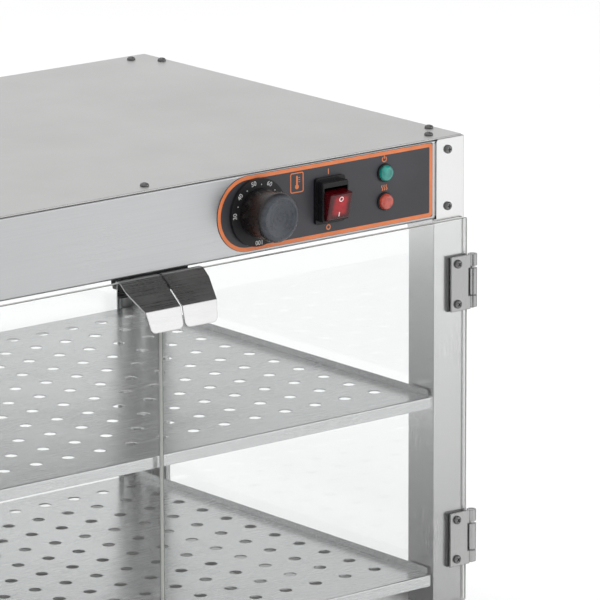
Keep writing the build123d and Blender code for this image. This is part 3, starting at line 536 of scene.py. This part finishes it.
def ring(mesh, cx, cz, radius, width, y, start=0, end=360, steps=36):
    """A printed ring, or part of one."""
    outer = arc(cx, cz, radius + width / 2, start, end, steps)
    inner = arc(cx, cz, radius - width / 2, start, end, steps)
    if end - start >= 360:
        prism(mesh, outer[:-1], y, inner[:-1])
    else:
        prism(mesh, outer + list(reversed(inner)), y)


def bar(mesh, x1, z1, x2, z2, width, y):
    """A printed line with round ends."""
    angle = math.degrees(math.atan2(z2 - z1, x2 - x1))
    loop = arc(x2, z2, width / 2, angle - 90, angle + 90, 6)
    loop += arc(x1, z1, width / 2, angle + 90, angle + 270, 6)
    prism(mesh, loop, y)


def rounded_rect(cx, cz, half_x, half_z, radius):
    """The outline of a rounded rectangle."""
    loop = []
    for sx, sz, start in ((1, 1, 0), (-1, 1, 90), (-1, -1, 180), (1, -1, 270)):
        loop += arc(cx + sx * (half_x - radius), cz + sz * (half_z - radius), radius, start, start + 90, 6)
    return loop


mark_y = overlay_face - ink_lift
# How far an ink shape that overlaps another stands in front of it
ink_overlap = 0.00002
symbols = bmesh.new()
# Thermometer in a rounded frame, to the right of the dial
icon_x = dial_x + 0.0445
icon_z = overlay_high.z - 0.0140
frame_outer = rounded_rect(icon_x, icon_z, 0.0073, 0.0089, 0.0016)
frame_inner = rounded_rect(icon_x, icon_z, 0.0064, 0.0080, 0.0010)
prism(symbols, frame_outer, mark_y, frame_inner)
prism(symbols, arc(icon_x, icon_z - 0.0037, 0.0021, 0, 360, 20)[:-1], mark_y)
bar(symbols, icon_x, icon_z - 0.0026, icon_x, icon_z + 0.0052, 0.0018, mark_y - ink_overlap)
for tick in range(3):
    tick_z = icon_z + 0.0005 + tick * 0.0019
    bar(symbols, icon_x + 0.0019, tick_z, icon_x + 0.0033, tick_z, 0.0005, mark_y)
# On and off: a bar above the switch, a ring below it
bar(symbols, rocker_x, rocker_high.z + 0.0022, rocker_x, rocker_high.z + 0.0062, 0.0010, mark_y)
ring(symbols, rocker_x, rocker_low.z - 0.0042, 0.0020, 0.0010, mark_y)
# Power: a broken ring with a bar, above the upper lamp
power_z = power_high.z + 0.0050
ring(symbols, lamp_x, power_z, 0.0023, 0.0009, mark_y, 125, 415, 30)
bar(symbols, lamp_x, power_z + 0.0006, lamp_x, power_z + 0.0033, 0.0009, mark_y - ink_overlap)
# Heat: three waves above the lower lamp
wave_pitch = 0.0024
wave_swing = 0.0006
wave_height = 0.0050
wave_half_width = 0.00045
wave_steps = 12
base_z = heat_high.z + 0.0026
for wave in (-1, 0, 1):
    points = []
    for step in range(wave_steps + 1):
        rise = step / wave_steps
        swing = wave_swing * math.sin(rise * 2 * math.pi)
        points.append((lamp_x + wave * wave_pitch + swing, rise * wave_height))
    left = [(x - wave_half_width, base_z + z) for x, z in points]
    right = [(x + wave_half_width, base_z + z) for x, z in points]
    prism(symbols, left + list(reversed(right)), mark_y)
new_piece("panel_symbols", finish_mesh("panel_symbols", symbols), orange_ink, "cabinet")

# Dial scale: numerals round the rim, with a dot between each two
first_number, number_step = 30, 10
number_radius = 0.0262
number_height = 0.0042
size_per_height = 1.38
dot_ring_radius = 0.0245
dot_radius = 0.0005
first_angle = 180.0
number_count = 8
step_angle = 270.0 / (number_count - 1)
dial_marks = bmesh.new()
for i in range(number_count - 1):
    a = math.radians(first_angle - step_angle * (i + 0.5))
    x = dial_x + dot_ring_radius * math.cos(a)
    z = dial_z + dot_ring_radius * math.sin(a)
    prism(dial_marks, arc(x, z, dot_radius, 0, 360, 10)[:-1], dial_face - ink_lift)
new_piece("dial_dots", finish_mesh("dial_dots", dial_marks), white_ink, "cabinet")


def numeral(name, text, cx, cz, painted_height_shade, y, tilt, material, body):
    """A raised number as a mesh, standing on the dial and turned with it."""
    curve = bpy.data.curves.new(name, "FONT")
    curve.body = text
    curve.size = painted_height_shade * size_per_height
    curve.align_x = "CENTER"
    curve.align_y = "CENTER"
    curve.extrude = ink_lift / 2
    curve.resolution_u = 3
    letters = bpy.data.objects.new(name + "_curve", curve)
    scene.collection.objects.link(letters)
    bpy.context.view_layer.update()
    data = bpy.data.meshes.new_from_object(letters.evaluated_get(bpy.context.evaluated_depsgraph_get()))
    bpy.data.objects.remove(letters)
    data.name = name
    data.transform(Matrix.Rotation(math.radians(tilt), 4, "Z"))
    data.transform(Matrix.Rotation(math.radians(90), 4, "X"))
    data.transform(Matrix.Translation((cx, y - ink_lift / 2, cz)))
    data.materials.clear()
    return new_piece(name, data, material, body)


for i in range(number_count):
    degrees = first_angle - step_angle * i
    a = math.radians(degrees)
    numeral(
        f"dial_number_{i}",
        str(first_number + number_step * i),
        dial_x + number_radius * math.cos(a),
        dial_z + number_radius * math.sin(a),
        number_height,
        dial_face,
        degrees - 90,
        white_ink,
        "cabinet",
    )

# Ring and bar on the rocker key, laid on its front face
key_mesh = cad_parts["switch_key"].data
largest = max(key_mesh.polygons, key=lambda p: p.area if p.normal.y < -0.8 else 0.0)
face_normal = largest.normal.normalized()
key_faces = [p for p in key_mesh.polygons if p.normal.dot(face_normal) > 0.9999]
face_area = sum(p.area for p in key_faces)
face_centre = sum((p.center * p.area for p in key_faces), Vector()) / face_area
key_marks = bmesh.new()
ring(key_marks, 0.0, 0.0072, 0.0020, 0.0007, -ink_lift)
bar(key_marks, 0.0, -0.0088, 0.0, -0.0052, 0.0007, -ink_lift)
key_data = finish_mesh("key_marks", key_marks)
face_up = (Vector((0, 0, 1)) - face_normal * face_normal.z).normalized()
face_right = (-face_normal).cross(face_up).normalized()
key_turn = Matrix((face_right, -face_normal, face_up)).transposed().to_4x4()
key_data.transform(Matrix.Translation(face_centre) @ key_turn)
new_piece("key_marks", key_data, key_ink, "switch_key")

# ------------------------------------------------------------------ floor, lights and camera

n = Nodes("studio_floor")
cloud = n.noise(n.place(0.6), detail=2.0)
n.shade(
    Base_Color=n.ramp(cloud, [(0.3, (0.96, 0.96, 0.96, 1)), (0.7, (0.98, 0.98, 0.98, 1))]),
    Roughness=n.span(cloud, 0.7, 0.8),
)


def level_sheet(name, size, painted_height_shade, material):
    """A level rectangle for the studio, centred on its own origin."""
    x, y = size[0] / 2, size[1] / 2
    mesh = bmesh.new()
    mesh.faces.new([mesh.verts.new((*p, painted_height_shade)) for p in ((-x, -y), (x, -y), (x, y), (-x, y))])
    data = bpy.data.meshes.new(name)
    mesh.to_mesh(data)
    mesh.free()
    data.materials.append(material)
    sheet = bpy.data.objects.new(name, data)
    scene.collection.objects.link(sheet)
    return sheet


floor_size = 60.0
floor_drop = 0.0003
floor = level_sheet("studio_floor", (floor_size, floor_size), -floor_drop, n.material)


def soft_light(name, place, target, size, power, mirrored=False):
    """A soft area light, which shows in polished metal only if it's mirrored."""
    lamp = bpy.data.lights.new(name, "AREA")
    lamp.shape = "RECTANGLE"
    lamp.size, lamp.size_y = size
    lamp.energy = power
    obj = bpy.data.objects.new(name, lamp)
    scene.collection.objects.link(obj)
    obj.location = place
    obj.rotation_mode = "QUATERNION"
    obj.rotation_quaternion = (Vector(target) - Vector(place)).to_track_quat("-Z", "Y")
    obj.visible_camera = False
    obj.visible_glossy = mirrored


soft_light("key_light", (-2.2, -2.6, 3.2), (0, 0, 0.3), (5.0, 5.0), 78.0)
soft_light("fill_light", (3.4, -3.4, 1.3), (0, 0, 0.3), (3.2, 2.2), 22.0, mirrored=True)
soft_light("top_light", (0.0, 1.6, 4.2), (0, 0.2, 0.4), (4.5, 4.5), 50.0)


def dark_card(name, centre, target, size, tone):
    """A studio card that only shows in reflections."""
    n = Nodes(name)
    cloud = n.noise(n.place(0.8), detail=1.0)
    shade = n.ramp(cloud, [(0.3, grey(tone * 0.9)), (0.7, grey(tone * 1.1))])
    n.shade(Base_Color=shade, Roughness=n.span(cloud, 0.85, 0.95))
    card = level_sheet(name, size, 0.0, n.material)
    card.location = centre
    card.rotation_mode = "QUATERNION"
    card.rotation_quaternion = (Vector(target) - Vector(centre)).to_track_quat("Z", "Y")
    card.visible_camera = False
    card.visible_shadow = False
    card.visible_transmission = False
    card.visible_diffuse = False


dark_card("overhead_card", (2.05, -0.3, 2.95), (0, -0.25, 0.43), (2.6, 2.6), 0.02)
dark_card("right_card", (2.0, 1.2, 0.01), (2.0, 1.2, 1.0), (2.6, 3.0), 0.03)
dark_card("near_card", (-0.6, -2.1, 0.01), (-0.6, -2.1, 1.0), (1.8, 1.8), 0.03)

world = bpy.data.worlds.new("studio_world")
world.use_nodes = True
scene.world = world
tree = world.node_tree
tree.nodes.clear()
where = tree.nodes.new("ShaderNodeTexCoord")
split = tree.nodes.new("ShaderNodeSeparateXYZ")
rise = tree.nodes.new("ShaderNodeMapRange")
rise.inputs["From Min"].default_value = 0.0
rise.inputs["From Max"].default_value = 1.0
tones = tree.nodes.new("ShaderNodeValToRGB")
tones.color_ramp.elements[0].color = (0.95, 0.955, 0.96, 1)
tones.color_ramp.elements[1].color = (1.0, 1.0, 1.0, 1)
sky = tree.nodes.new("ShaderNodeBackground")
sky.inputs["Strength"].default_value = 0.92
result = tree.nodes.new("ShaderNodeOutputWorld")
tree.links.new(where.outputs["Generated"], split.inputs[0])
tree.links.new(split.outputs["Z"], rise.inputs["Value"])
tree.links.new(rise.outputs["Result"], tones.inputs["Fac"])
tree.links.new(tones.outputs["Color"], sky.inputs["Color"])
tree.links.new(sky.outputs["Background"], result.inputs["Surface"])

# The camera stands to the left of the doors and looks a little down, through a long lens
frame_size = 600.0
focal_length = 5873.8
sensor = 36.0
camera_place = (-2.9506, -4.0513, 1.6226)
camera_data = bpy.data.cameras.new("studio_camera")
camera = bpy.data.objects.new("studio_camera", camera_data)
scene.collection.objects.link(camera)
scene.camera = camera
camera_data.sensor_width = sensor
camera_data.lens = focal_length / frame_size * sensor
camera_data.clip_start = 0.1
camera_data.clip_end = 200.0
yaw = math.radians(39.061)
pitch = math.radians(13.927)
roll = math.radians(-0.166)
forward = Vector((math.sin(yaw) * math.cos(pitch), math.cos(yaw) * math.cos(pitch), -math.sin(pitch)))
level_right = Vector((math.cos(yaw), -math.sin(yaw), 0.0))
level_up = level_right.cross(forward)
right = level_right * math.cos(roll) + level_up * math.sin(roll)
up = -level_right * math.sin(roll) + level_up * math.cos(roll)
turn = Matrix((right, up, -forward)).transposed()
camera.matrix_world = Matrix.Translation(camera_place) @ turn.to_4x4()

scene.view_settings.view_transform = "Standard"
scene.view_settings.look = "None"
scene.view_settings.exposure = 0.0
scene.view_settings.gamma = 1.0
